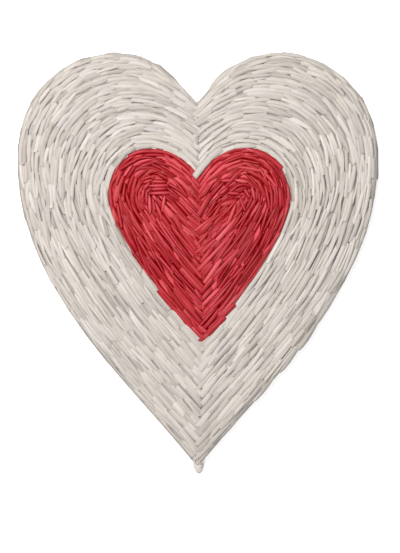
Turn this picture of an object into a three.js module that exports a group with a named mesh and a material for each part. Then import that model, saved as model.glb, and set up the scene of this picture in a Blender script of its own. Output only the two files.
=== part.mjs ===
// A woven paper heart. Short strips of white paper are laid end over end in rows that
// follow the outline, and a smaller heart of red strips fills the middle. The left and
// the right half of every row meet on the centre line. It lies on its flat back.
// Millimetres, +Z up, lobes towards +Y, the point towards -Y.

import * as THREE from 'three';

// Half outlines, given at the notch between the lobes, the crown of the lobe, the widest
// place of the flank and the point. Angles are degrees from the X axis, and a reach is
// how far the curve keeps that direction.
const whiteOutline = {
  notch: { y: 106.8, angle: 8, reach: 6 },
  crown: { x: 54, y: 140, inward: 36, outward: 33 },
  flank: { x: 120, y: 70, up: 46, down: 86 },
  point: { y: -135.5, angle: 51, reach: 78 },
};
// Halfway in, the rows come down to the centre line less steeply, so the outer ones crowd
// together at the notch.
const middleOutline = {
  notch: { y: 91.5, angle: 36, reach: 15 },
  crown: { x: 41, y: 108, inward: 16, outward: 28 },
  flank: { x: 90.25, y: 56.5, up: 30, down: 55 },
  point: { y: -94.25, angle: 49.6, reach: 54.4 },
};
const redOutline = {
  notch: { y: 56.7, angle: 58, reach: 9.5 },
  crown: { x: 32, y: 76, inward: 20, outward: 19 },
  flank: { x: 60.5, y: 43, up: 14, down: 24 },
  point: { y: -53, angle: 46, reach: 31 },
};

// The red rows close in on a line from the centre line to the eye of each lobe.
const redEye = { x: 27, y: 41 };
const redSeamY = 9;
const redInnermost = 0.99;

// The red heart sits a little to the right and leans, most at its point.
const redShift = 2.2;
const redLean = -0.025;

// Rows, counted from the outside in. The rim rows are seen edge on, so they are narrower.
const whiteRowWidths = [0.5, 0.75, 1, 1, 1, 1, 1, 1, 1, 1, 1, 1, 1, 1];
const redRowWidths = [1, 1, 1, 1, 1, 1, 1, 1, 1, 1, 1, 1];
const rowGap = 0.35;
const heartGap = 0.6;
const seamGap = 0.3;

// Strip ends along half a row: from notch to crown, crown to flank and flank to point.
const whiteSteps = [5, 8, 9];
const redSteps = [3, 5, 6];

// Heights above the flat back.
const rimHeight = 6;
const shoulderHeight = 13;
const rimReach = 0.22;
const innerHeight = 15;
const redHeight = 17;
const redRimReach = 0.25;
const stripWave = 0.7;

// Half sections of a row: across from its inner to its outer edge, and up as a share of
// the height there. A strip is crowned, and the rim row is tucked in underneath.
const stripSection = [[0, 0], [1, 0], [1, 0.93], [0.5, 1], [0, 0.93]];
const rimSection = [[0, 0], [0.1, 0], [1, 0.55], [0.75, 0.9], [0, 1]];

// The strip end that is wrapped round the point.
const wrapWidth = 7;
const wrapShift = 1;
const wrapEndY = -140;
const wrapHeight = 5;
const wrapEndHeight = 3.4;
const wrapGap = 0.45;
const wrapCurveSteps = 6;

const whitePaper = new THREE.MeshStandardMaterial({ color: '#ded8d0', roughness: 0.75, metalness: 0 });
const redPaper = new THREE.MeshStandardMaterial({ color: '#c8323c', roughness: 0.65, metalness: 0 });

function alongAngle(degrees, reach) {
  const angle = THREE.MathUtils.degToRad(degrees);
  return new THREE.Vector2(Math.cos(angle), Math.sin(angle)).multiplyScalar(reach);
}

// The ten control points of three curves: notch to crown, crown to flank, flank to point.
function outlineControls({ notch, crown, flank, point }) {
  const start = new THREE.Vector2(0, notch.y);
  const end = new THREE.Vector2(0, point.y);
  return [
    start,
    start.clone().add(alongAngle(notch.angle, notch.reach)),
    new THREE.Vector2(crown.x - crown.inward, crown.y),
    new THREE.Vector2(crown.x, crown.y),
    new THREE.Vector2(crown.x + crown.outward, crown.y),
    new THREE.Vector2(flank.x, flank.y + flank.up),
    new THREE.Vector2(flank.x, flank.y),
    new THREE.Vector2(flank.x, flank.y - flank.down),
    end.clone().add(alongAngle(point.angle, point.reach)),
    end,
  ];
}

// The line that the red rows close in on, run out to the eye and back again.
function eyeControls(eye, seamY) {
  const outer = new THREE.Vector2(eye.x, eye.y);
  const seam = new THREE.Vector2(0, seamY);
  const shares = [0, 1 / 3, 2 / 3, 1, 1, 1, 1, 2 / 3, 1 / 3, 0];
  return shares.map((share) => seam.clone().lerp(outer, share));
}

// The family of nested curves: depth 0 is the outside, 1 the edge of the red heart and
// 2 the line in the middle of each red lobe.
const nestedLevels = [
  { depth: 0, controls: outlineControls(whiteOutline) },
  { depth: 0.5, controls: outlineControls(middleOutline) },
  { depth: 1, controls: outlineControls(redOutline) },
  { depth: 2, controls: eyeControls(redEye, redSeamY) },
];

function nestedCurve(depth) {
  const next = nestedLevels.findIndex((level, i) => i > 0 && depth <= level.depth);
  const from = nestedLevels[next - 1];
  const to = nestedLevels[next];
  const share = (depth - from.depth) / (to.depth - from.depth);
  const controls = from.controls.map((control, i) => control.clone().lerp(to.controls[i], share));
  return [0, 3, 6].map((first) => new THREE.CubicBezierCurve(...controls.slice(first, first + 4)));
}

function curvePoints(depth, steps) {
  const curves = nestedCurve(depth);
  const points = curves.flatMap((curve, i) => curve.getPoints(steps[i]).slice(0, -1));
  return [...points, curves[curves.length - 1].v3];
}

// How far the centre line is bent to the right: not at all outside, fully in the red heart.
function leanAt(depth, y) {
  return Math.min(depth, 1) * (redShift + redLean * y);
}

function heightAt(depth) {
  if (depth <= rimReach) {
    const rise = Math.sqrt(1 - (1 - depth / rimReach) ** 2);
    return THREE.MathUtils.lerp(rimHeight, shoulderHeight, rise);
  }
  if (depth <= 1) {
    return THREE.MathUtils.mapLinear(depth, rimReach, 1, shoulderHeight, innerHeight);
  }
  const rise = THREE.MathUtils.smoothstep(depth - 1, 0, redRimReach);
  return THREE.MathUtils.lerp(innerHeight, redHeight, rise);
}

// Half a row: a strip section carried along the band between two nested curves, rising
// and dipping from strip end to strip end.
function rowGeometry({ outerDepth, innerDepth, steps, section, phase, side }) {
  const inner = curvePoints(innerDepth, steps);
  const outer = curvePoints(outerDepth, steps);
  const last = inner.length - 1;
  const shape = new THREE.Shape(section.map(([across, up]) => new THREE.Vector2(across, up)));
  const geometry = new THREE.ExtrudeGeometry(shape, { depth: last, steps: last, bevelEnabled: false });
  const position = geometry.getAttribute('position');
  for (let i = 0; i < position.count; i += 1) {
    const across = position.getX(i);
    const up = position.getY(i);
    const station = Math.round(position.getZ(i));
    const place = inner[station].clone().lerp(outer[station], across);
    const wave = (station + phase) % 2 === 0 ? stripWave : -stripWave;
    const depth = THREE.MathUtils.lerp(innerDepth, outerDepth, across);
    const lean = side * leanAt(depth, place.y);
    position.setXYZ(i, place.x + lean, place.y, up * (heightAt(depth) + wave));
  }
  geometry.computeVertexNormals();
  return geometry;
}

// The depths between which each row of a heart lies, less the gap to its neighbours.
function rowBands(widths, startDepth, endDepth, gapDepth) {
  const total = widths.reduce((sum, width) => sum + width, 0);
  const depthPerWidth = (endDepth - startDepth) / total;
  let edge = startDepth;
  return widths.map((width) => {
    const outerDepth = edge;
    edge += width * depthPerWidth;
    return { outerDepth, innerDepth: edge - gapDepth };
  });
}

function addRows(heart, name, bands, steps, material) {
  bands.forEach((band, index) => {
    const section = band.outerDepth === 0 ? rimSection : stripSection;
    ['right', 'left'].forEach((sideName, sideIndex) => {
      const side = sideName === 'right' ? 1 : -1;
      const geometry = rowGeometry({ ...band, steps, section, phase: index + sideIndex, side });
      const mesh = new THREE.Mesh(geometry, material);
      mesh.name = `${name}_row_${String(index + 1).padStart(2, '0')}_${sideName}`;
      mesh.scale.x = side;
      mesh.position.x = side * (seamGap / 2);
      heart.add(mesh);
    });
  });
}

// The wrapped strip end: a leaf whose upper edge lies along both sides of the point.
function pointWrap(material) {
  const outline = curvePoints(0, whiteSteps);
  const tip = outline[outline.length - 1];
  const side = outline[outline.length - 2].clone().sub(tip);
  const slope = side.y / side.x;
  const notchY = tip.y - wrapGap * Math.hypot(1, slope);
  const left = wrapShift - wrapWidth / 2;
  const right = wrapShift + wrapWidth / 2;
  const leaf = new THREE.Shape();
  leaf.moveTo(0, notchY);
  leaf.lineTo(left, notchY - left * slope);
  leaf.bezierCurveTo(left, notchY, wrapShift - wrapWidth / 4, wrapEndY, wrapShift, wrapEndY);
  leaf.bezierCurveTo(wrapShift + wrapWidth / 4, wrapEndY, right, notchY, right, notchY + right * slope);
  leaf.closePath();
  const options = { depth: 1, steps: 1, bevelEnabled: false, curveSegments: wrapCurveSteps };
  const geometry = new THREE.ExtrudeGeometry(leaf, options);
  const position = geometry.getAttribute('position');
  for (let i = 0; i < position.count; i += 1) {
    const share = THREE.MathUtils.clamp((notchY - position.getY(i)) / (notchY - wrapEndY), 0, 1);
    position.setZ(i, position.getZ(i) * THREE.MathUtils.lerp(wrapHeight, wrapEndHeight, share));
  }
  geometry.computeVertexNormals();
  const mesh = new THREE.Mesh(geometry, material);
  mesh.name = 'point_wrap';
  return mesh;
}

const whiteReach = whiteOutline.flank.x - redOutline.flank.x;
const redReach = redOutline.flank.x - redEye.x;
const whiteBands = rowBands(whiteRowWidths, 0, 1, rowGap / whiteReach);
const redBands = rowBands(redRowWidths, 1 + heartGap / redReach, 1 + redInnermost, rowGap / redReach);

const heart = new THREE.Group();
addRows(heart, 'white', whiteBands, whiteSteps, whitePaper);
addRows(heart, 'red', redBands, redSteps, redPaper);
heart.add(pointWrap(whitePaper));

export default heart;
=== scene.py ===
import bisect
import math
import random

import bmesh
import bpy
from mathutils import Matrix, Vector
from mathutils.geometry import interpolate_bezier


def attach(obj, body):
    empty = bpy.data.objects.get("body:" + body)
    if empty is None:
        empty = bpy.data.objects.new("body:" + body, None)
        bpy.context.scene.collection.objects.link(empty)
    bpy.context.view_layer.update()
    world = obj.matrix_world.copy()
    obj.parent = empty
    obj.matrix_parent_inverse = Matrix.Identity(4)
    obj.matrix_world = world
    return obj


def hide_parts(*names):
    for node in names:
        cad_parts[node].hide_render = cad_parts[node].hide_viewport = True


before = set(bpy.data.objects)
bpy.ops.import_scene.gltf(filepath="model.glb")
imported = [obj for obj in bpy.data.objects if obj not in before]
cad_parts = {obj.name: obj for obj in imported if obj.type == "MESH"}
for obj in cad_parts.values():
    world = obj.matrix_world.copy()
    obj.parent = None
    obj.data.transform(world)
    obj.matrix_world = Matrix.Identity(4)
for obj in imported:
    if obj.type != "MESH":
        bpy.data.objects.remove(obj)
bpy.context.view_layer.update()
mm = 0.001
print("frame loaded:", len(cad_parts), "nodes")

# The half outlines, in mm, as the rows were laid out: notch, crown, flank and point
heartForm = {
    "white": {
        "notch": (106.8, 8, 6),           # height, angle, reach
        "crown": (54, 140, 36, 33),       # across, height, pull in, pull out
        "flank": (120, 70, 46, 86),       # across, height, pull up, pull down
        "point": (-135.5, 51, 78),        # height, angle, reach
    },
    "middle": {                           # halfway in, the rows come down to the notch less steeply
        "notch": (91.5, 36, 15),
        "crown": (41, 108, 16, 28),
        "flank": (90.25, 56.5, 30, 55),
        "point": (-94.25, 49.6, 54.4),
    },
    "red": {
        "notch": (56.7, 58, 9.5),
        "crown": (32, 76, 20, 19),
        "flank": (60.5, 43, 14, 24),
        "point": (-53, 46, 31),
    },
    "eye": (27, 41),                      # the red rows close in on a line to here
    "seamHeight": 9,
    "innermost": 1.99,
    "redEdge": 1.018,
    "rimRows": (0.5, 0.75),               # the rim rows are narrower, as shares of a row
    "whiteRows": 14,
    "redRows": 12,
    "shift": 2.2,                         # the red heart leans to the right
    "lean": -0.025,
    "curvePoints": 40,
}

# Heights in mm, and how deep the rounded rims reach
heartHeight = {
    "rim": 6, "shoulder": 13, "inner": 15, "red": 17,
    "rimReach": 0.22, "redRimReach": 0.25,
}


def alongAngle(degrees, reach):
    angle = math.radians(degrees)
    return Vector((math.cos(angle), math.sin(angle))) * reach


def outlineHandles(form):
    notchY, notchAngle, notchReach = form["notch"]
    crownX, crownY, pullIn, pullOut = form["crown"]
    flankX, flankY, pullUp, pullDown = form["flank"]
    pointY, pointAngle, pointReach = form["point"]
    notch = Vector((0, notchY))
    point = Vector((0, pointY))
    return [
        notch,
        notch + alongAngle(notchAngle, notchReach),
        Vector((crownX - pullIn, crownY)),
        Vector((crownX, crownY)),
        Vector((crownX + pullOut, crownY)),
        Vector((flankX, flankY + pullUp)),
        Vector((flankX, flankY)),
        Vector((flankX, flankY - pullDown)),
        point + alongAngle(pointAngle, pointReach),
        point,
    ]


def eyeHandles():
    seam = Vector((0, heartForm["seamHeight"]))
    eye = Vector(heartForm["eye"])
    shares = (0, 1 / 3, 2 / 3, 1, 1, 1, 1, 2 / 3, 1 / 3, 0)
    return [seam.lerp(eye, share) for share in shares]


# Depth 0 is the outside, 1 the edge of the red heart, 2 the line inside each red lobe
nestedLevels = [
    (0, outlineHandles(heartForm["white"])),
    (0.5, outlineHandles(heartForm["middle"])),
    (1, outlineHandles(heartForm["red"])),
    (2, eyeHandles()),
]


def nestedLine(depth, side):
    level = next(i for i in range(1, len(nestedLevels)) if depth <= nestedLevels[i][0])
    (before, outer), (after, inner) = nestedLevels[level - 1:level + 1]
    share = (depth - before) / (after - before)
    handles = [a.lerp(b, share) for a, b in zip(outer, inner)]
    points = []
    for first in (0, 3, 6):
        piece = interpolate_bezier(*handles[first:first + 4], heartForm["curvePoints"])
        points += [Vector((p[0], p[1])) for p in piece[bool(points):]]
    for p in points:
        p.x = side * p.x + min(depth, 1) * (heartForm["shift"] + heartForm["lean"] * p.y)
    return [p * mm for p in points]


def heightAt(depth):
    h = heartHeight
    if depth <= h["rimReach"]:
        climb = math.sqrt(max(0, 1 - (1 - max(depth, 0) / h["rimReach"]) ** 2))
        return (h["rim"] + (h["shoulder"] - h["rim"]) * climb) * mm
    if depth <= 1:
        share = (depth - h["rimReach"]) / (1 - h["rimReach"])
        return (h["shoulder"] + (h["inner"] - h["shoulder"]) * share) * mm
    share = min((depth - 1) / h["redRimReach"], 1)
    return (h["inner"] + (h["red"] - h["inner"]) * share * share * (3 - 2 * share)) * mm


# Each row's two edge depths, counted from the outside in
def rowDepths():
    rim = list(heartForm["rimRows"])
    shares = rim + [1] * (heartForm["whiteRows"] - len(rim))
    step = 1 / sum(shares)
    edges = [0]
    for share in shares:
        edges.append(edges[-1] + share * step)
    start, end, count = heartForm["redEdge"], heartForm["innermost"], heartForm["redRows"]
    redEdges = [start + (end - start) * i / count for i in range(count + 1)]
    return {"white": list(zip(edges, edges[1:])), "red": list(zip(redEdges, redEdges[1:]))}


# Half a row: its middle line with lengths, directions and the width of the row along it
def halfRow(outerDepth, innerDepth, side):
    middle = (outerDepth + innerDepth) / 2
    outer = nestedLine(outerDepth, side)
    inner = nestedLine(innerDepth, side)
    points = nestedLine(middle, side)
    lengths = [0]
    for a, b in zip(points, points[1:]):
        lengths.append(lengths[-1] + (b - a).length)
    last = len(points) - 1
    tangents = [(points[min(i + 1, last)] - points[max(i - 1, 0)]).normalized() for i in range(last + 1)]
    widths = []
    for a, b, t in zip(outer, inner, tangents):
        widths.append(abs((a - b).dot(Vector((-t.y, t.x)))))
    pitch = sum(widths) / len(widths)
    return {
        "side": side, "points": points, "lengths": lengths, "tangents": tangents, "widths": widths,
        "length": lengths[-1], "pitch": pitch, "height": heightAt(middle),
        "roll": math.atan((heightAt(innerDepth) - heightAt(outerDepth)) / pitch),
    }


def sampleRow(row, s):
    lengths = row["lengths"]
    i = min(max(bisect.bisect_right(lengths, s) - 1, 0), len(lengths) - 2)
    share = (s - lengths[i]) / (lengths[i + 1] - lengths[i])
    inside = min(max(share, 0), 1)
    point = row["points"][i].lerp(row["points"][i + 1], share)
    tangent = row["tangents"][i].lerp(row["tangents"][i + 1], inside).normalized()
    width = row["widths"][i] + (row["widths"][i + 1] - row["widths"][i]) * inside
    return point, tangent, width


def between(rng, span):
    return rng.uniform(*span)


def slope(rng, degrees):
    return math.tan(math.radians(rng.gauss(0, degrees)))


def mix(pair, share):
    return pair[0] + (pair[1] - pair[0]) * share


def mixBetween(rng, spans, share):
    return mix([between(rng, span) for span in spans], share)


# 0 up to the first of two limits, 1 from the second on
def rise(value, limits):
    low, high = limits
    return min(max((value - low) / (high - low), 0), 1)


# 1 at an end of a row, falling to 0 over the reach
def nearEnd(distance, reach):
    return min(max(1 - distance / reach, 0), 1)


# A flattened paper strip of unit size: X along, Y across, Z up with its top at 0
stripForm = {
    # across and up, from the left edge over the top to the right edge
    "sections": {
        "flat": ((0.5, 0.5), (0.42, 0.95), (0, 1), (-0.42, 0.95), (-0.5, 0.5)),
        "pillow": ((0.5, 0.3), (0.28, 0.84), (0, 1), (-0.28, 0.84), (-0.5, 0.3)),
        "rightFold": ((0.5, 0.3), (0.3, 0.7), (-0.05, 0.92), (-0.36, 1), (-0.5, 0.45)),
        "leftFold": ((0.5, 0.45), (0.36, 1), (0.05, 0.92), (-0.3, 0.7), (-0.5, 0.3)),
        "double": ((0.5, 0.3), (0.3, 0.97), (0, 0.76), (-0.3, 0.95), (-0.5, 0.3)),
        "round": ((0.5, 0.1), (0.32, 0.68), (0, 1), (-0.32, 0.68), (-0.5, 0.1)),
    },
    "underside": ((-0.4, 0), (0, 0), (0.4, 0)),
    # places along the strip, with the width and height there
    "ends": {
        "cut": (
            (0, 0.94, 0.84), (0.05, 1, 1), (0.35, 1, 1),
            (0.65, 1, 1), (0.95, 1, 1), (1, 0.97, 0.9),
        ),
        "leaf": (
            (0, 0.34, 0.6), (0.16, 0.74, 0.94), (0.4, 1, 1),
            (0.64, 1, 1), (0.87, 0.8, 0.96), (1, 0.46, 0.76),
        ),
    },
    "slantFrom": 0.6,                     # the cut at an end slants the strip from this far out
    "tuckReach": 0.3, "tuckCurve": 1.5,   # one end is tucked under, in a curve
    "dipFrom": 0.7,                       # the other end dips
    "highlightToShadeDepth": 0.25,                   # painted highlight above this depth, painted shade below
}


def stripTemplate(name, section, places):
    bm = bmesh.new()
    around = section + stripForm["underside"]
    ring = bmesh.ops.create_circle(bm, segments=len(around), radius=0.5, cap_ends=False)["verts"]
    for v, (across, up) in zip(ring, around):
        v.co = Vector((0, across, up - 1))
    edges = list(bm.edges)
    rings = [ring]
    for place in places[1:]:
        made = bmesh.ops.extrude_edge_only(bm, edges=edges)["geom"]
        ring = [v for v in made if isinstance(v, bmesh.types.BMVert)]
        edges = [e for e in made if isinstance(e, bmesh.types.BMEdge) and all(v in ring for v in e.verts)]
        for v in ring:
            v.co.x = place[0]
        rings.append(ring)
    for ring, (_, width, height) in zip(rings, places):
        for v in ring:
            v.co.y *= width
            v.co.z = (v.co.z + 1) * height - 1
    bmesh.ops.holes_fill(bm, edges=list(bm.edges), sides=len(around))
    bmesh.ops.recalc_face_normals(bm, faces=list(bm.faces))
    mesh = bpy.data.meshes.new(name)
    bm.to_mesh(mesh)
    bm.free()
    return mesh


stripTemplates = {}
for sectionName, section in stripForm["sections"].items():
    for endName, endPlaces in stripForm["ends"].items():
        templateName = "strip_" + sectionName + "_" + endName
        stripTemplates[sectionName, endName] = stripTemplate(templateName, section, endPlaces)
print("strip templates made:", len(stripTemplates))


# Copies a template into bm and bends it along the row
def layStrip(bm, row, strip, template):
    firstVert = len(bm.verts)
    firstFace = len(bm.faces)
    bm.from_mesh(template)
    bm.verts.ensure_lookup_table()
    bm.faces.ensure_lookup_table()
    tone = bm.verts.layers.float["tone"]
    tint = bm.verts.layers.float["tint"]
    uv = bm.loops.layers.uv["strip"]
    form = stripForm
    length, width, offset = strip["length"], strip["width"], strip["offset"]
    for face in bm.faces[firstFace:]:
        for loop in face.loops:
            co = loop.vert.co
            loop[uv].uv = (co.x * length + offset, co.y * width + offset)
    half = length / 2
    middle, direction, _ = sampleRow(row, strip["start"] + half)
    for v in bm.verts[firstVert:]:
        tail, across, up = v.co
        u = tail
        if strip["turned"]:
            u = 1 - u
            across = -across
        nearCut = max(0, abs(2 * u - 1) - form["slantFrom"]) / (1 - form["slantFrom"])
        slant = strip["slant"][u > 0.5] * across * width * nearCut
        s = strip["start"] + length * u + slant
        point, tangent, _ = sampleRow(row, s)
        point = (middle + direction * (s - strip["start"] - half)).lerp(point, strip["bend"])
        tangent = direction.lerp(tangent, strip["bend"]).normalized()
        outward = Vector((-tangent.y, tangent.x)) * row["side"]
        tuck = strip["tuck"] * max(0, 1 - tail / form["tuckReach"]) ** form["tuckCurve"]
        dip = strip["dip"] * max(0, tail - form["dipFrom"]) / (1 - form["dipFrom"])
        roll = strip["roll"] + strip["twist"] * (u - 0.5)
        acrossSize = across * width * row["side"]
        upSize = up * strip["thickness"] + strip["lift"] - tuck - dip
        sideways = mix(strip["drift"], u) + acrossSize * math.cos(roll) + upSize * math.sin(roll)
        height = strip["height"] + upSize * math.cos(roll) - acrossSize * math.sin(roll)
        flat = point + outward * sideways
        v.co = Vector((flat.x, flat.y, height))
        # Painted highlight: the top of each strip is paler than its tone. Painted shade: its sides and
        # underside are darker.
        v[tone] = strip["tone"] + strip["creaseAndPaintedRidgeShading"] * (up + form["highlightToShadeDepth"])
        v[tint] = strip["tint"]


# How rounded and loose the strips lie, by their height up the heart in mm: calm on the lobes
paperRelief = {
    "whiteRight": ((130, 0.55), (85, 0.75), (50, 1.45), (5, 1.05), (-35, 0.35), (-125, 0.3)),
    "whiteLeft": ((130, 0.5), (85, 0.55), (45, 1.1), (0, 0.9), (-40, 0.65), (-125, 0.55)),
    "red": ((0, 0.85),),
    "plain": ((0, 0.5),),
}
# What that changes, at none and at full relief
reliefForm = {
    "loose": (0.4, 1.1), "thick": (0.9, 1.3), "wide": (1.08, 0.96), "long": (0.85, 1.3),
    "flat": (1, 0), "leaf": (1, 0.15), "drop": (0.3 * mm, 1.45 * mm),
}


def reliefAt(name, y):
    stops = paperRelief[name]
    for (high, above), (low, below) in zip(stops, stops[1:]):
        if y > low * mm:
            return below + (above - below) * min((y / mm - low) / (high - low), 1)
    return stops[-1][1]


def byRelief(name, relief):
    return mix(reliefForm[name], relief)


# One strip of a run, drawn by chance from the run's spans, and whether it is laid at all
def drawStrip(row, run, start, end, straight, relief, rng):
    middle = (start + end) / 2
    rowWidth = sampleRow(row, middle)[2]
    surface = rowWidth / run["foreshorten"]
    atNotch = nearEnd(middle, run["notchReach"])
    atPoint = nearEnd(row["length"] - middle, run["pointReach"])
    atEnd = max(atNotch, atPoint)
    atSeam = max(nearEnd(start, run["seamReach"]), nearEnd(row["length"] - end, run["seamReach"]))
    thinned = 1 - run["notchThin"] * atNotch - run["pointThin"] * atPoint
    isLaid = rng.random() < run["share"] * rise(surface, run["room"]) * thinned
    drift = run["lateral"] + between(rng, run["drift"]) * rowWidth
    degrees = mix(run["turn"], straight) * mix(run["cross"], relief)
    turn = slope(rng, degrees) * (end - start) / 2
    merge = [run["merge"] * rowWidth * nearEnd(along, run["notchReach"]) for along in (start, end)]
    widen = 1 + run["notchWiden"] * atNotch + run["pointWiden"] * atPoint
    width = mixBetween(rng, run["width"], straight) * widen * byRelief("wide", relief)
    step = rng.choice((-1, 1)) * run["step"]
    loose = byRelief("loose", relief) * (1 - run["notchCalm"] * atNotch)
    strip = {
        "start": start,
        "length": end - start,
        "drift": (drift + merge[0] - turn, drift + merge[1] + turn),
        "width": max(width, run["fill"] * surface),
        "height": run["height"],
        "thickness": between(rng, run["thickness"]) * byRelief("thick", relief),
        "roll": run["roll"] + math.radians(rng.gauss(0, run["tilt"]) * loose),
        "twist": math.radians(rng.gauss(0, run["twist"]) * loose),
        "slant": (slope(rng, run["slant"]), slope(rng, run["slant"])),
        "lift": (between(rng, run["lift"]) + step) * loose + between(rng, run["seamLift"]) * atSeam,
        "tuck": between(rng, run["tuck"]) * loose,
        "dip": between(rng, run["dip"]) * loose,
        "bend": between(rng, run["bend"]),
        "turned": rng.random() < run["turned"],
        "tone": min(max(rng.gauss(*run["tone"]), 0), 1),
        "tint": rng.random(),
        "offset": rng.random(),
        # Painted highlight on the strip's top and painted shade on its sides, stronger where the relief is
        # higher
        "creaseAndPaintedRidgeShading": mix(run["creaseAndPaintedRidgeShading"], relief),
    }
    isFlat = rng.random() < max(mix(run["flat"], straight) * byRelief("flat", relief), atEnd)
    section = rng.choice(run["sections"])
    isLeaf = rng.random() < mix(run["leaf"], straight) * byRelief("leaf", relief) * (1 - atEnd)
    template = stripTemplates["flat" if isFlat else section, "leaf" if isLeaf else "cut"]
    return strip, template, isLaid


# Where a row turns straight, as shares of its length; how much of its first strip is left; and
# what is too short for another strip or for a last one, as shares of the shortest
runForm = {"straightFrom": (0.42, 0.62), "firstLength": (0.55, 1), "leftOver": 0.3, "noStub": 0.8}


# Lays strips end over end along half a row
def layRun(bm, row, run, rng):
    s = run["from"]
    shortest = run["lengths"][0][0]
    while s < row["length"] - shortest * runForm["leftOver"]:
        straight = rise(s / row["length"], runForm["straightFrom"])
        relief = reliefAt(run["relief"], sampleRow(row, s)[0].y)
        length = mixBetween(rng, run["lengths"], straight) * byRelief("long", relief)
        start = s
        if s == run["from"]:
            length *= between(rng, runForm["firstLength"])
            start -= between(rng, run["over"])
        if row["length"] - s - length < shortest * runForm["noStub"]:
            length = row["length"] - s
        end = min(s + length + run["lap"], row["length"] + between(rng, run["over"]))
        strip, template, isLaid = drawStrip(row, run, start, end, straight, relief, rng)
        if isLaid:
            layStrip(bm, row, strip, template)
        s += length


calmTurn = (1.2, 0.8)                     # degrees
# What the strips of a run share. Turn, flat and leaf hold two values, and lengths and width two
# spans, for the curved upper part of a row and for its straight lower part. Cross, and the painted
# highlight on strip tops with painted shade on their sides, hold two values for none and for full
# relief, tone is a mean and a spread, and other pairs are spans.
# Turn, tilt, twist and slant are in degrees, and drift, merge and fill are shares of a row's width.
whiteStrips = {
    "from": 0, "lap": 3 * mm, "share": 1, "room": (0, 1 * mm), "step": 0, "merge": 0,
    "drift": (-0.1, 0.1), "lateral": 0, "turn": (3.6, 1.7), "cross": (1, 1), "bend": (0.45, 1),
    "width": ((2.9 * mm, 3.8 * mm), (2.7 * mm, 3.5 * mm)), "fill": 0.58, "foreshorten": 1,
    "thickness": (1.1 * mm, 1.5 * mm), "tilt": 5, "twist": 6, "slant": 22, "turned": 0.45,
    "lift": (-0.3 * mm, 0.3 * mm), "tuck": (0.7 * mm, 1.5 * mm), "dip": (-0.3 * mm, 0.6 * mm),
    "flat": (0.1, 0.9), "sections": ("flat", "pillow", "rightFold", "leftFold", "double"),
    # The pair after tone sets the painted highlight on strip tops and the painted shade on their sides and
    # undersides
    "tone": (0.365, 0.1), "creaseAndPaintedRidgeShading": (0.1, 0.52), "relief": "plain",
    "notchReach": 40 * mm, "notchWiden": 0.1, "notchThin": 0, "notchCalm": 0.8,
    "pointReach": 45 * mm, "pointWiden": 0.35, "pointThin": 0,
    "seamReach": 8 * mm, "seamLift": (0, 0),
}
# Strips between two rows, where the rows are far enough apart
whiteOverlay = dict(
    whiteStrips, share=0.95, room=(3.3 * mm, 4.3 * mm), fill=0, step=0.25 * mm,
    width=((2.4 * mm, 3.2 * mm), (2.2 * mm, 3 * mm)), thickness=(0.9 * mm, 1.3 * mm),
    drift=(0.34, 0.62), turn=(4, 2.2), tone=(0.395, 0.1),
    lift=(-0.15 * mm, 0.15 * mm), tuck=(0.9 * mm, 1.6 * mm), dip=(0.3 * mm, 1.1 * mm),
    notchThin=0.6, pointThin=0.6, pointWiden=0,
)
# The strips next to the red heart go on under its edge
whiteUnder = dict(whiteStrips, fill=1, lift=(-1.6 * mm, -1.1 * mm), turn=calmTurn)
redStrips = dict(
    whiteStrips, lengths=((8 * mm, 14 * mm), (11 * mm, 23 * mm)), lap=2.5 * mm,
    width=((2.9 * mm, 3.7 * mm), (2.7 * mm, 3.3 * mm)), fill=0.88,
    thickness=(1.7 * mm, 2.3 * mm), tilt=11, twist=10, turn=(6, 3), bend=(0.2, 0.8),
    lift=(-0.4 * mm, 0.5 * mm), tuck=(1 * mm, 1.9 * mm), flat=(0, 0), leaf=(0.9, 0.6),
    sections=("round", "round", "round", "pillow", "rightFold", "leftFold", "double"),
    # Red strips get a strong painted highlight on their tops and painted shade on their sides
    tone=(-0.02, 0.12), creaseAndPaintedRidgeShading=(1.1, 1.1),
    notchReach=18 * mm, notchWiden=0.05, notchCalm=0.3, pointReach=40 * mm, pointWiden=0.05,
)
redOverlay = dict(
    redStrips, share=0.35, fill=0, drift=(0.35, 0.65), turn=(9, 4),
    width=((1.9 * mm, 2.5 * mm), (1.8 * mm, 2.4 * mm)), thickness=(1.1 * mm, 1.5 * mm),
    lift=(0, 0.8 * mm), dip=(0.4 * mm, 1.4 * mm), notchThin=0.6, pointThin=0.5,
)
# Strips on the edge of the red heart, leaning outwards, with ends that stick out over the white
redEdge = dict(
    redStrips, width=((2.6 * mm, 3.2 * mm), (2.6 * mm, 3.2 * mm)), fill=0,
    turn=(2.5, 2.5), bend=(0.6, 0.95), leaf=(0.2, 0.1),
    lift=(-0.2 * mm, 0.2 * mm), tuck=(0.2 * mm, 0.7 * mm), dip=(0, 0.4 * mm),
)
# Short crossing strips that close the middle line inside each red lobe
redEye = dict(
    redStrips, lengths=((6 * mm, 10 * mm), (6 * mm, 11 * mm)), turn=(10, 10), bend=(0, 0.4),
    width=((3 * mm, 3.8 * mm), (3 * mm, 3.8 * mm)), fill=0,
    lift=(0, 0.7 * mm), dip=(0.2 * mm, 1 * mm),
)
# The back is plainer: longer, flatter strips, face down
backStrips = dict(
    whiteStrips, lengths=((28 * mm, 50 * mm), (42 * mm, 75 * mm)), over=(0, 0.5 * mm),
    fill=0.96, drift=(-0.03, 0.03), turn=(0.4, 0.4), bend=(0.9, 1), leaf=(0, 0), tilt=1, twist=0.5,
    lift=(-0.25 * mm, 0), tuck=(0.5 * mm, 0.9 * mm), dip=(0, 0.3 * mm),
    height=0, roll=math.pi, pointWiden=0,
)
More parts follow.
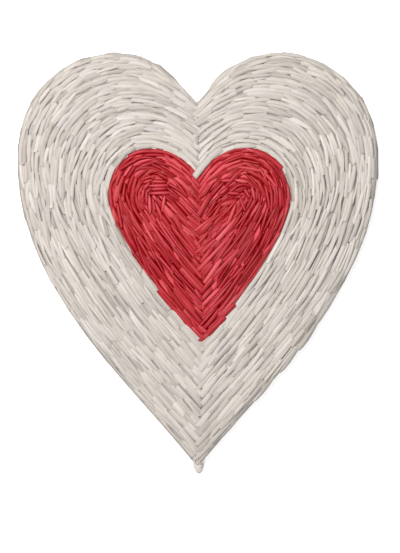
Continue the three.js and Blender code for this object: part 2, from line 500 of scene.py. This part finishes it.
# Strips stacked up the rim
rimStrips = dict(
    whiteStrips, lengths=((18 * mm, 30 * mm), (26 * mm, 48 * mm)), over=(0, 0.6 * mm),
    width=((3.3 * mm, 4.1 * mm), (3.3 * mm, 4.1 * mm)), fill=0,
    drift=(-0.02, 0.02), turn=(0.5, 0.5), bend=(0.85, 1), leaf=(0.2, 0.2), tilt=5, twist=3,
    lift=(-0.3 * mm, 0.1 * mm), tuck=(0.4 * mm, 0.9 * mm), dip=(0, 0.4 * mm), pointWiden=0,
)
# How far in from the outline they lie and how high, in mm, and which way they face
rimLevels = [
    {"inset": 1.1, "height": 2, "roll": 112},
    {"inset": 0.25, "height": 4.1, "roll": 92},
    {"inset": 0.75, "height": 6.6, "roll": 68},
]
# At the seam the right half's ends lie over the left half's
seamEnds = {
    "right": {"over": (-0.6 * mm, 4 * mm), "seamLift": (-0.1 * mm, 0.5 * mm)},
    "left": {"over": (0.4 * mm, 2.6 * mm), "seamLift": (-0.4 * mm, 0.15 * mm)},
}
# How the two halves of the white heart differ; the rim is drawn back at the notch
whiteSides = {
    "right": {
        "lengths": ((8.5 * mm, 15 * mm), (11 * mm, 23 * mm)), "leaf": (0.6, 0.2), "cross": (0.9, 1),
        "notchWiden": -0.22, "notchPull": -0.4, "relief": "whiteRight",
    },
    "left": {
        "lengths": ((8 * mm, 14 * mm), (8 * mm, 17 * mm)), "leaf": (0.7, 0.2), "cross": (0.6, 1.5),
        "notchWiden": 0.2, "notchPull": -1.5, "relief": "whiteLeft",
    },
}
# The rim rows keep close to their line, so the outline stays smooth
rimCalm = {"turn": calmTurn, "over": (0, 0.5 * mm)}
rimRow = rimCalm | {"fill": 0.85, "bend": (0.9, 1)}
# On the left the outer rows crowd together at the notch: every other one stops short of it, and
# the others run together
crowdedRows = {"count": 7, "stop": (16 * mm, 28 * mm), "merge": 0.5}
# How far in the white row next to the red heart lies, in row widths
lastWhiteRow = {"inwards": 0.24, "underInwards": 0.6, "fill": 0.78}
redRowForm = {
    "edgeOver": (0, 0.8 * mm),
    "edgeOutwards": 0.15, "edgeLean": 8,                        # in row widths and degrees
    "edgeOverlay": {"turn": (2, 2), "drift": (-0.2, 0.2)},      # none sticks out over the white
    "notchWiden": 0.3,
    "notchStop": (8 * mm, 16 * mm),                             # how far from the notch some rows stop
    "lobeStop": (0.26, 0.38),                                   # in row lengths, to pass by the lobe
    "eyeInwards": 0.6,                                          # in row widths
}
# Single strips out of line: from and to along the row, outwards at both ends, width and lift in mm,
# and how far they lean outwards in degrees
looseStrips = {
    "white_row_14_right": [
        {"along": (-4, 22), "out": (0.5, 0), "width": 4.1, "lift": 1.6, "lean": 0, "ends": "cut"},
        {"along": (190, 211), "out": (0.4, 0.9), "width": 4.2, "lift": 0.2, "lean": 0, "ends": "cut"},
    ],
    "white_row_14_left": [
        {"along": (192, 213), "out": (0.4, 1), "width": 4.4, "lift": 0, "lean": 0, "ends": "cut"},
    ],
    "red_row_01_right": [
        {"along": (44, 66), "out": (-0.3, 1.3), "width": 3.6, "lift": 1.1, "lean": 4, "ends": "cut"},
        {"along": (164, 187), "out": (1.9, -0.4), "width": 3.4, "lift": 0.2, "lean": 8, "ends": "cut"},
        {"along": (174.5, 197.6), "out": (2.2, 0.6), "width": 3.5, "lift": 0.2, "lean": 8, "ends": "cut"},
    ],
    "red_row_01_left": [
        {"along": (154, 195), "out": (1.9, 1), "width": 3.4, "lift": 0, "lean": 8, "ends": "cut"},
    ],
    "white_row_01_right": [
        {"along": (12, 34), "out": (1, 1.2), "width": 4, "lift": 0, "lean": -28, "ends": "leaf"},
        {"along": (152, 214), "out": (-1.2, -1), "width": 3.4, "lift": 0.3, "lean": -28, "ends": "leaf"},
        {"along": (208, 266), "out": (-1.3, -1.5), "width": 3.6, "lift": 0.5, "lean": -28, "ends": "leaf"},
        {"along": (262, 300), "out": (0.8, 1.2), "width": 4.5, "lift": -0.5, "lean": 0, "ends": "leaf"},
        {"along": (286, 312), "out": (0.2, 2.6), "width": 5, "lift": -0.3, "lean": -8, "ends": "leaf"},
        {"along": (306, 331), "out": (0.2, 2.4), "width": 5, "lift": 0, "lean": 5, "ends": "leaf"},
        {"along": (332, 357), "out": (0.2, 1.9), "width": 4.6, "lift": 0, "lean": 5, "ends": "leaf"},
        {"along": (372, 396), "out": (1.2, 0.4), "width": 4, "lift": -0.4, "lean": 0, "ends": "leaf"},
    ],
}
# Short strips that turn round the eye of each red lobe: both ends, width and lift in mm, and how
# much paler than the others they are
eyeStrips = {
    "red_row_12_left": [
        {"start": (-36.5, 52.5), "end": (-29.5, 55), "width": 3, "lift": 0.6, "pale": 0.12},
        {"start": (-35, 52), "end": (-37, 40), "width": 3, "lift": 0.8, "pale": 0.15},
        {"start": (-33.7, 48), "end": (-33.7, 38), "width": 2.6, "lift": 0.9, "pale": 0.1},
        {"start": (-31.8, 45), "end": (-31.3, 31.5), "width": 3.2, "lift": 1.1, "pale": 0.28},
        {"start": (-29.7, 44.8), "end": (-27, 41), "width": 3, "lift": 0.7, "pale": 0.25},
        {"start": (-28, 40.5), "end": (-23, 27.5), "width": 3.2, "lift": 0.7, "pale": 0.18},
        {"start": (-21.5, 45), "end": (-23.5, 33.5), "width": 3, "lift": 1, "pale": 0.28},
        {"start": (-31, 53.6), "end": (-20.5, 53.4), "width": 3.2, "lift": 0.7, "pale": 0.12},
        {"start": (-33.4, 50.6), "end": (-18.6, 51.1), "width": 3.2, "lift": 0.9, "pale": 0.16},
        {"start": (-31.4, 48.5), "end": (-20.4, 48.9), "width": 3, "lift": 1, "pale": 0.12},
        {"start": (-32.8, 45.7), "end": (-17, 46.2), "width": 3.2, "lift": 1.1, "pale": 0.17},
        {"start": (-36.3, 48), "end": (-31.4, 53), "width": 3, "lift": 1.2, "pale": 0.14},
    ],
    "red_row_12_right": [
        {"start": (14.5, 54), "end": (24, 54.5), "width": 3.2, "lift": 0.8, "pale": 0.15},
        {"start": (24, 54.7), "end": (33.5, 53.2), "width": 3.6, "lift": 1, "pale": 0.28},
        {"start": (30.5, 49), "end": (34.5, 42.5), "width": 3, "lift": 0.9, "pale": 0.12},
        {"start": (35.5, 51), "end": (37.5, 41), "width": 3, "lift": 1, "pale": 0.22},
        {"start": (14, 37.5), "end": (26, 41.5), "width": 5, "lift": 0.4, "pale": 0.1},
        {"start": (13.5, 44.5), "end": (20, 49.5), "width": 3, "lift": 0.9, "pale": 0.15},
        {"start": (19, 46), "end": (28, 45.5), "width": 3, "lift": 1.2, "pale": 0.12},
        {"start": (27.5, 43.5), "end": (31.5, 33.5), "width": 3, "lift": 1, "pale": 0.1},
        {"start": (25.5, 39.5), "end": (19, 24), "width": 3.4, "lift": 0.9, "pale": 0.26},
        {"start": (41.5, 41), "end": (34, 29), "width": 3.2, "lift": 0.9, "pale": 0.22},
    ],
}
looseForm = {
    "thickness": 1.4 * mm, "twist": 0, "slant": (0.2, -0.3), "tuck": 0, "dip": 0.7 * mm, "bend": 0.75,
    "turned": False, "tint": 0.5, "offset": 0.3,
}
underlay = {
    "floor": 0.9 * mm, "thinnest": 1 * mm, "tone": 0.5,
    "spread": 0.35 * mm,                                        # rows touch under their strips
    "rimInset": 1.5 * mm,
    "facing": 0.2,                                              # how far out a side faces to be moved
    "notchFrom": 50 * mm, "notchReach": 40 * mm, "notchCalm": 0.8,      # higher under the calm notch
    "mergeWithin": 0.001 * mm, "backBelow": 0.01 * mm,
}


# The lower layers of a row: the row's own form, let down under its top strips
def layUnderlay(bm, node, relief, isRim):
    body = bmesh.new()
    body.from_mesh(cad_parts[node].data)
    bmesh.ops.remove_doubles(body, verts=list(body.verts), dist=underlay["mergeWithin"])
    body.normal_update()
    floor = underlay["floor"]
    moves = []
    for v in body.verts:
        flat = Vector((v.normal.x, v.normal.y, 0))
        facing = v.normal.dot(Vector((v.co.x, v.co.y, 0)).normalized())
        isOutside = isRim and facing > underlay["facing"]
        reach = -underlay["rimInset"] if isOutside else underlay["spread"]
        move = flat.normalized() * reach if flat.length > underlay["facing"] else Vector()
        drop = byRelief("drop", reliefAt(relief, v.co.y))
        if v.co.y > underlay["notchFrom"]:
            drop *= 1 - underlay["notchCalm"] * nearEnd(abs(v.co.x), underlay["notchReach"])
        height = floor
        if v.co.z >= underlay["backBelow"]:
            height = max(v.co.z - drop, floor + underlay["thinnest"])
        moves.append((v, move, height))
    for v, move, height in moves:
        v.co = v.co + move
        v.co.z = height
    mesh = bpy.data.meshes.new(node + "_underlay")
    body.to_mesh(mesh)
    body.free()
    firstVert = len(bm.verts)
    bm.from_mesh(mesh)
    bm.verts.ensure_lookup_table()
    tone = bm.verts.layers.float["tone"]
    for v in bm.verts[firstVert:]:
        v[tone] = underlay["tone"]
    bpy.data.meshes.remove(mesh)


sharpAngle = math.radians(55)


def newPaperMesh():
    bm = bmesh.new()
    bm.verts.layers.float.new("tone")
    bm.verts.layers.float.new("tint")
    bm.loops.layers.uv.new("strip")
    return bm


def finishPiece(bm, name, node, material):
    mesh = bpy.data.meshes.new(name)
    bm.to_mesh(mesh)
    bm.free()
    mesh.materials.append(material)
    mesh.shade_smooth()
    mesh.set_sharp_from_angle(angle=sharpAngle)
    piece = bpy.data.objects.new(name, mesh)
    bpy.context.scene.collection.objects.link(piece)
    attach(piece, "root")
    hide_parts(node)
    return piece


fibreForm = {
    "streakScale": 1, "streakDetail": 3,
    "creaseScale": 0.7, "creaseDetail": 1.5, "creaseFold": 0.5, "creaseDepth": 0.4 * mm,
}


# Fibres and creases that run along a strip, read from the strip's own UV map
def fibreGroup():
    group = bpy.data.node_groups.new("paperFibre", "ShaderNodeTree")
    group.interface.new_socket("Strip", in_out="INPUT", socket_type="NodeSocketVector")
    group.interface.new_socket("Along", in_out="INPUT", socket_type="NodeSocketFloat")
    group.interface.new_socket("Across", in_out="INPUT", socket_type="NodeSocketFloat")
    group.interface.new_socket("Streak", in_out="OUTPUT", socket_type="NodeSocketFloat")
    group.interface.new_socket("Crease", in_out="OUTPUT", socket_type="NodeSocketFloat")
    nodes, links = group.nodes, group.links
    enter = nodes.new("NodeGroupInput")
    leave = nodes.new("NodeGroupOutput")
    scale = nodes.new("ShaderNodeCombineXYZ")
    links.new(enter.outputs["Along"], scale.inputs["X"])
    links.new(enter.outputs["Across"], scale.inputs["Y"])
    stretch = nodes.new("ShaderNodeVectorMath")
    stretch.operation = "MULTIPLY"
    links.new(enter.outputs["Strip"], stretch.inputs[0])
    links.new(scale.outputs["Vector"], stretch.inputs[1])
    streak = nodes.new("ShaderNodeTexNoise")
    streak.inputs["Scale"].default_value = fibreForm["streakScale"]
    streak.inputs["Detail"].default_value = fibreForm["streakDetail"]
    links.new(stretch.outputs["Vector"], streak.inputs["Vector"])
    links.new(streak.outputs["Fac"], leave.inputs["Streak"])
    crease = nodes.new("ShaderNodeTexNoise")
    crease.inputs["Scale"].default_value = fibreForm["creaseScale"]
    crease.inputs["Detail"].default_value = fibreForm["creaseDetail"]
    links.new(stretch.outputs["Vector"], crease.inputs["Vector"])
    creaseAndPaintedRidgeShading = nodes.new("ShaderNodeMath")
    creaseAndPaintedRidgeShading.operation = "PINGPONG"
    creaseAndPaintedRidgeShading.inputs[1].default_value = fibreForm["creaseFold"]
    links.new(crease.outputs["Fac"], creaseAndPaintedRidgeShading.inputs[0])
    links.new(creaseAndPaintedRidgeShading.outputs["Value"], leave.inputs["Crease"])
    return group


paperFibre = fibreGroup()


def colourRamp(nodes, stops):
    ramp = nodes.new("ShaderNodeValToRGB")
    elements = ramp.color_ramp.elements
    for element, (place, colour) in zip(elements, (stops[0], stops[-1])):
        element.position = place
        element.color = (*colour, 1)
    for place, colour in stops[1:-1]:
        elements.new(place).color = (*colour, 1)
    return ramp


def paperMaterial(name, look):
    material = bpy.data.materials.new(name)
    material.use_nodes = True
    nodes, links = material.node_tree.nodes, material.node_tree.links
    shader = nodes["Principled BSDF"]
    strip = nodes.new("ShaderNodeUVMap")
    strip.uv_map = "strip"
    fibre = nodes.new("ShaderNodeGroup")
    fibre.node_tree = paperFibre
    fibre.inputs["Along"].default_value = look["along"]
    fibre.inputs["Across"].default_value = look["across"]
    links.new(strip.outputs["UV"], fibre.inputs["Strip"])
    # The tone attribute is each strip's own tone plus painted highlight on its top and painted shade on
    # its sides
    tone = nodes.new("ShaderNodeAttribute")
    tone.attribute_name = "tone"
    tint = nodes.new("ShaderNodeAttribute")
    tint.attribute_name = "tint"
    spread = nodes.new("ShaderNodeMath")                # tone moved by the fibres
    spread.operation = "MULTIPLY_ADD"
    links.new(fibre.outputs["Streak"], spread.inputs[0])
    spread.inputs[1].default_value = look["streak"]
    links.new(tone.outputs["Fac"], spread.inputs[2])
    shades = colourRamp(nodes, look["shades"])
    links.new(spread.outputs["Value"], shades.inputs["Fac"])
    tints = colourRamp(nodes, look["tints"])
    links.new(tint.outputs["Fac"], tints.inputs["Fac"])
    tinted = nodes.new("ShaderNodeMix")
    tinted.data_type = "RGBA"
    tinted.blend_type = "MULTIPLY"
    tinted.inputs["Factor"].default_value = 1
    links.new(shades.outputs["Color"], tinted.inputs["A"])
    links.new(tints.outputs["Color"], tinted.inputs["B"])
    links.new(tinted.outputs["Result"], shader.inputs["Base Color"])
    rough = nodes.new("ShaderNodeMapRange")
    rough.inputs["To Min"].default_value = look["roughness"][0]
    rough.inputs["To Max"].default_value = look["roughness"][1]
    links.new(fibre.outputs["Streak"], rough.inputs["Value"])
    links.new(rough.outputs["Result"], shader.inputs["Roughness"])
    bump = nodes.new("ShaderNodeBump")
    bump.inputs["Strength"].default_value = look["bump"]
    bump.inputs["Distance"].default_value = fibreForm["creaseDepth"]
    links.new(fibre.outputs["Crease"], bump.inputs["Height"])
    links.new(bump.outputs["Normal"], shader.inputs["Normal"])
    shader.inputs["Specular IOR Level"].default_value = look["specular"]
    return material


whiteLook = {
    "shades": ((0.3, (0.32, 0.285, 0.249)), (1, (0.665, 0.612, 0.562))),
    "tints": ((0, (0.975, 0.97, 1)), (0.33, (1, 1, 1)), (0.67, (1, 1, 1)), (1, (1, 0.985, 0.96))),
    "streak": 0.6, "along": 60, "across": 1000,
    "roughness": (0.5, 0.75), "bump": 1.3, "specular": 0.35,
}
redLook = {
    "shades": ((0.25, (0.25, 0.0005, 0.003)), (0.5, (0.43, 0.024, 0.033)), (1, (0.83, 0.15, 0.17))),
    "tints": ((0, (1, 0.8, 0.85)), (0.33, (1, 1, 1)), (0.67, (1, 1, 1)), (1, (1, 1.1, 1))),
    "streak": 0.5, "along": 60, "across": 750,
    "roughness": (0.34, 0.52), "bump": 0.8, "specular": 0.2,
}
paper = {"white": paperMaterial("whitePaper", whiteLook), "red": paperMaterial("redPaper", redLook)}
print("materials made:", ", ".join(paper))


def layWhite(bm, row, index, place, rng):
    isRim = index < len(heartForm["rimRows"])
    joined = {}
    if isRim:
        joined = rimRow | {"merge": place["notchPull"]}
    elif row["side"] < 0 and index < crowdedRows["count"]:
        if index % 2 == 0:
            joined["from"] = between(rng, crowdedRows["stop"])
        else:
            joined["merge"] = crowdedRows["merge"]
    if index == heartForm["whiteRows"] - 1:
        under = {"lateral": -lastWhiteRow["underInwards"] * row["pitch"]}
        layRun(bm, row, whiteUnder | place | under, rng)
        joined["fill"] = lastWhiteRow["fill"]
        joined["lateral"] = -lastWhiteRow["inwards"] * row["pitch"]
        joined["turn"] = calmTurn
    layRun(bm, row, whiteStrips | place | joined, rng)
    if index > 0:
        layRun(bm, row, whiteOverlay | place | (rimCalm if isRim else {}), rng)


def layRed(bm, row, index, place, rng):
    form = redRowForm
    overlay = {}
    if index == 0:
        overlay = form["edgeOverlay"]
        place = place | {"over": form["edgeOver"]}
        lean = row["roll"] + math.radians(form["edgeLean"])
        edge = {"lateral": form["edgeOutwards"] * row["pitch"], "roll": lean}
        layRun(bm, row, redEdge | place | edge, rng)
    joined = {"notchWiden": form["notchWiden"]}
    if index % 3 == 1:                                  # every third row stops short of the notch
        joined["from"] = between(rng, form["notchStop"])
    if index % 4 == 2:                                  # and every fourth doesn't go round the lobe
        joined["from"] = between(rng, form["lobeStop"]) * row["length"]
    layRun(bm, row, redStrips | place | joined, rng)
    layRun(bm, row, redOverlay | place | overlay, rng)
    if index == heartForm["redRows"] - 1:
        inwards = {"lateral": -form["eyeInwards"] * row["pitch"]}
        layRun(bm, row, redEye | place | inwards, rng)


def layRim(bm, row, merge, rng):
    for level in rimLevels:
        run = rimStrips | merge
        run["lateral"] = row["pitch"] / 2 - level["inset"] * mm
        run["height"] = level["height"] * mm
        run["roll"] = math.radians(level["roll"])
        layRun(bm, row, run, rng)


def layLoose(bm, row, loose, run):
    first, last = loose["along"]
    strip = looseForm | {
        "start": first * mm, "length": (last - first) * mm, "height": row["height"],
        "drift": [out * mm for out in loose["out"]], "width": loose["width"] * mm,
        "lift": loose["lift"] * mm, "roll": row["roll"] + math.radians(loose["lean"]),
        # with the same painted highlight on top and painted shade on the sides as the run's strips
        "tone": run["tone"][0], "creaseAndPaintedRidgeShading": run["creaseAndPaintedRidgeShading"][0],
    }
    layStrip(bm, row, strip, stripTemplates["flat", loose["ends"]])


# An eye strip lies on a straight line of its own
def layEye(bm, row, eye):
    start = Vector(eye["start"]) * mm
    end = Vector(eye["end"]) * mm
    along = end - start
    line = {
        "points": [start, end], "lengths": [0, along.length], "tangents": [along.normalized()] * 2,
        "widths": [0, 0], "side": 1,
    }
    strip = looseForm | {
        "start": 0, "length": along.length, "height": row["height"], "drift": (0, 0), "roll": 0,
        "width": eye["width"] * mm, "lift": eye["lift"] * mm,
        # with the same painted highlight on top and painted shade on the sides as the red strips
        "tone": redStrips["tone"][0] + eye["pale"], "creaseAndPaintedRidgeShading": redStrips["creaseAndPaintedRidgeShading"][0],
    }
    layStrip(bm, line, strip, stripTemplates["pillow", "leaf"])


# One piece for each half row: its lower layers, back strips, front strips and, outside, rim strips
def makeRow(kind, index, depths, sideName):
    node = f"{kind}_row_{index + 1:02d}_{sideName}"
    rng = random.Random(node)
    row = halfRow(*depths, 1 if sideName == "right" else -1)
    place = {"height": row["height"], "roll": row["roll"], "foreshorten": math.cos(row["roll"])}
    place |= seamEnds[sideName]
    place |= whiteSides[sideName] if kind == "white" else {"relief": "red"}
    isRim = kind == "white" and index == 0
    merge = {"merge": place["notchPull"]} if isRim else {}
    bm = newPaperMesh()
    layUnderlay(bm, node, place["relief"], isRim)
    layRun(bm, row, backStrips | merge, rng)
    if isRim:
        layRim(bm, row, merge, rng)
    if kind == "white":
        layWhite(bm, row, index, place, rng)
    else:
        layRed(bm, row, index, place, rng)
    for loose in looseStrips.get(node, []):
        layLoose(bm, row, loose, whiteStrips if kind == "white" else redStrips)
    for eye in eyeStrips.get(node, []):
        layEye(bm, row, eye)
    return finishPiece(bm, node + "_strips", node, paper[kind])


def makeRows():
    count = 0
    for kind, rows in rowDepths().items():
        for index, depths in enumerate(rows):
            for sideName in ("right", "left"):
                piece = makeRow(kind, index, depths, sideName)
                count += len(piece.data.polygons)
    print("rows made:", count, "faces")


makeRows()

# The strip ends wrapped round the point: a broad leaf, and the end of a strip lying over its
# right side. Both ends, width, thickness and lift are in mm.
pointWrap = {
    "leaves": [
        {
            "top": (0.2, -125), "end": (0.8, -140.4), "taper": 0.1,
            "width": 7.4, "thickness": 6.2, "lift": 0.3,
        },
        {
            "top": (3.8, -127), "end": (1.2, -136.4), "taper": 0,
            "width": 3.9, "thickness": 2, "lift": 5.3,
        },
    ],
    "sides": 16, "rings": 10, "tone": 0.7,
}


def layLeaf(bm, leaf):
    sides, rings = pointWrap["sides"], pointWrap["rings"]
    made = bmesh.ops.create_uvsphere(bm, u_segments=sides, v_segments=rings, radius=0.5)
    tone = bm.verts.layers.float["tone"]
    tint = bm.verts.layers.float["tint"]
    end = Vector(leaf["end"])
    lengthwise = Vector(leaf["top"]) - end
    sideways = Vector((-lengthwise.y, lengthwise.x)).normalized() * leaf["width"]
    for v in made["verts"]:
        across, up, along = v.co
        narrow = 1 - leaf["taper"] * max(0, -2 * along) ** 2
        flat = end + lengthwise * (along + 0.5) + sideways * across * narrow
        v.co = Vector((flat.x, flat.y, leaf["lift"] + leaf["thickness"] * (up + 0.5))) * mm
        v[tone] = v[tint] = pointWrap["tone"]


def makePointWrap():
    node = "point_wrap"
    bm = newPaperMesh()
    for leaf in pointWrap["leaves"]:
        layLeaf(bm, leaf)
    uv = bm.loops.layers.uv["strip"]
    for face in bm.faces:
        for loop in face.loops:
            loop[uv].uv = (loop.vert.co.y, loop.vert.co.x)
    bmesh.ops.recalc_face_normals(bm, faces=list(bm.faces))
    return finishPiece(bm, node + "_leaf", node, paper["white"])


makePointWrap()
print("point wrap made")

# Floor, light and camera
studio = {
    "floorSize": 6, "floorColour": (0.75, 0.75, 0.75), "floorRoughness": 0.9,
    "floorGlow": 0.6, "glowColour": (1, 1, 1),
    "skyColour": (1, 1, 1), "zenith": 0.745, "horizon": 0.235,
    "keyPlace": (-0.55, 0.57, 1.7), "keySize": 0.39, "keyPower": 28.6,
    "lens": 100, "sensor": 36, "viewHeight": 368.1 * mm, "viewCentre": (1.5 * mm, -9 * mm), "rim": 5 * mm,
}


def makeFloor():
    bm = bmesh.new()
    bmesh.ops.create_grid(bm, x_segments=1, y_segments=1, size=studio["floorSize"] / 2)
    mesh = bpy.data.meshes.new("floor")
    bm.to_mesh(mesh)
    bm.free()
    material = bpy.data.materials.new("paleFloor")
    material.use_nodes = True
    nodes, links = material.node_tree.nodes, material.node_tree.links
    shader = nodes["Principled BSDF"]
    shader.inputs["Base Color"].default_value = (*studio["floorColour"], 1)
    shader.inputs["Roughness"].default_value = studio["floorRoughness"]
    shader.inputs["Emission Color"].default_value = (*studio["glowColour"], 1)
    path = nodes.new("ShaderNodeLightPath")
    glow = nodes.new("ShaderNodeMath")                  # white to look at, without lighting the rim
    glow.operation = "MULTIPLY"
    glow.inputs[1].default_value = studio["floorGlow"]
    links.new(path.outputs["Is Camera Ray"], glow.inputs[0])
    links.new(glow.outputs["Value"], shader.inputs["Emission Strength"])
    mesh.materials.append(material)
    floor = bpy.data.objects.new("floor", mesh)
    bpy.context.scene.collection.objects.link(floor)


def makeLight():
    world = bpy.data.worlds.new("softSky")
    world.use_nodes = True
    nodes, links = world.node_tree.nodes, world.node_tree.links
    sky = nodes["Background"]
    sky.inputs["Color"].default_value = (*studio["skyColour"], 1)
    place = nodes.new("ShaderNodeTexCoord")
    split = nodes.new("ShaderNodeSeparateXYZ")
    links.new(place.outputs["Generated"], split.inputs["Vector"])
    fade = nodes.new("ShaderNodeMapRange")              # brightest overhead, so the rim is greyer
    fade.inputs["To Min"].default_value = studio["horizon"]
    fade.inputs["To Max"].default_value = studio["zenith"]
    links.new(split.outputs["Z"], fade.inputs["Value"])
    links.new(fade.outputs["Result"], sky.inputs["Strength"])
    bpy.context.scene.world = world
    lamp = bpy.data.lights.new("keyLight", "AREA")
    lamp.shape = "DISK"
    lamp.size = studio["keySize"]
    lamp.energy = studio["keyPower"]
    key = bpy.data.objects.new("keyLight", lamp)
    key.location = studio["keyPlace"]
    key.rotation_euler = (-Vector(studio["keyPlace"])).to_track_quat("-Z", "Y").to_euler()
    bpy.context.scene.collection.objects.link(key)


def makeCamera():
    data = bpy.data.cameras.new("camera")
    data.lens = studio["lens"]
    data.sensor_width = studio["sensor"]
    camera = bpy.data.objects.new("camera", data)
    distance = studio["viewHeight"] * studio["lens"] / studio["sensor"]
    camera.location = (*studio["viewCentre"], studio["rim"] + distance)
    bpy.context.scene.collection.objects.link(camera)
    bpy.context.scene.camera = camera


makeFloor()
makeLight()
makeCamera()
bpy.context.scene.view_settings.view_transform = "Standard"
print("studio made")
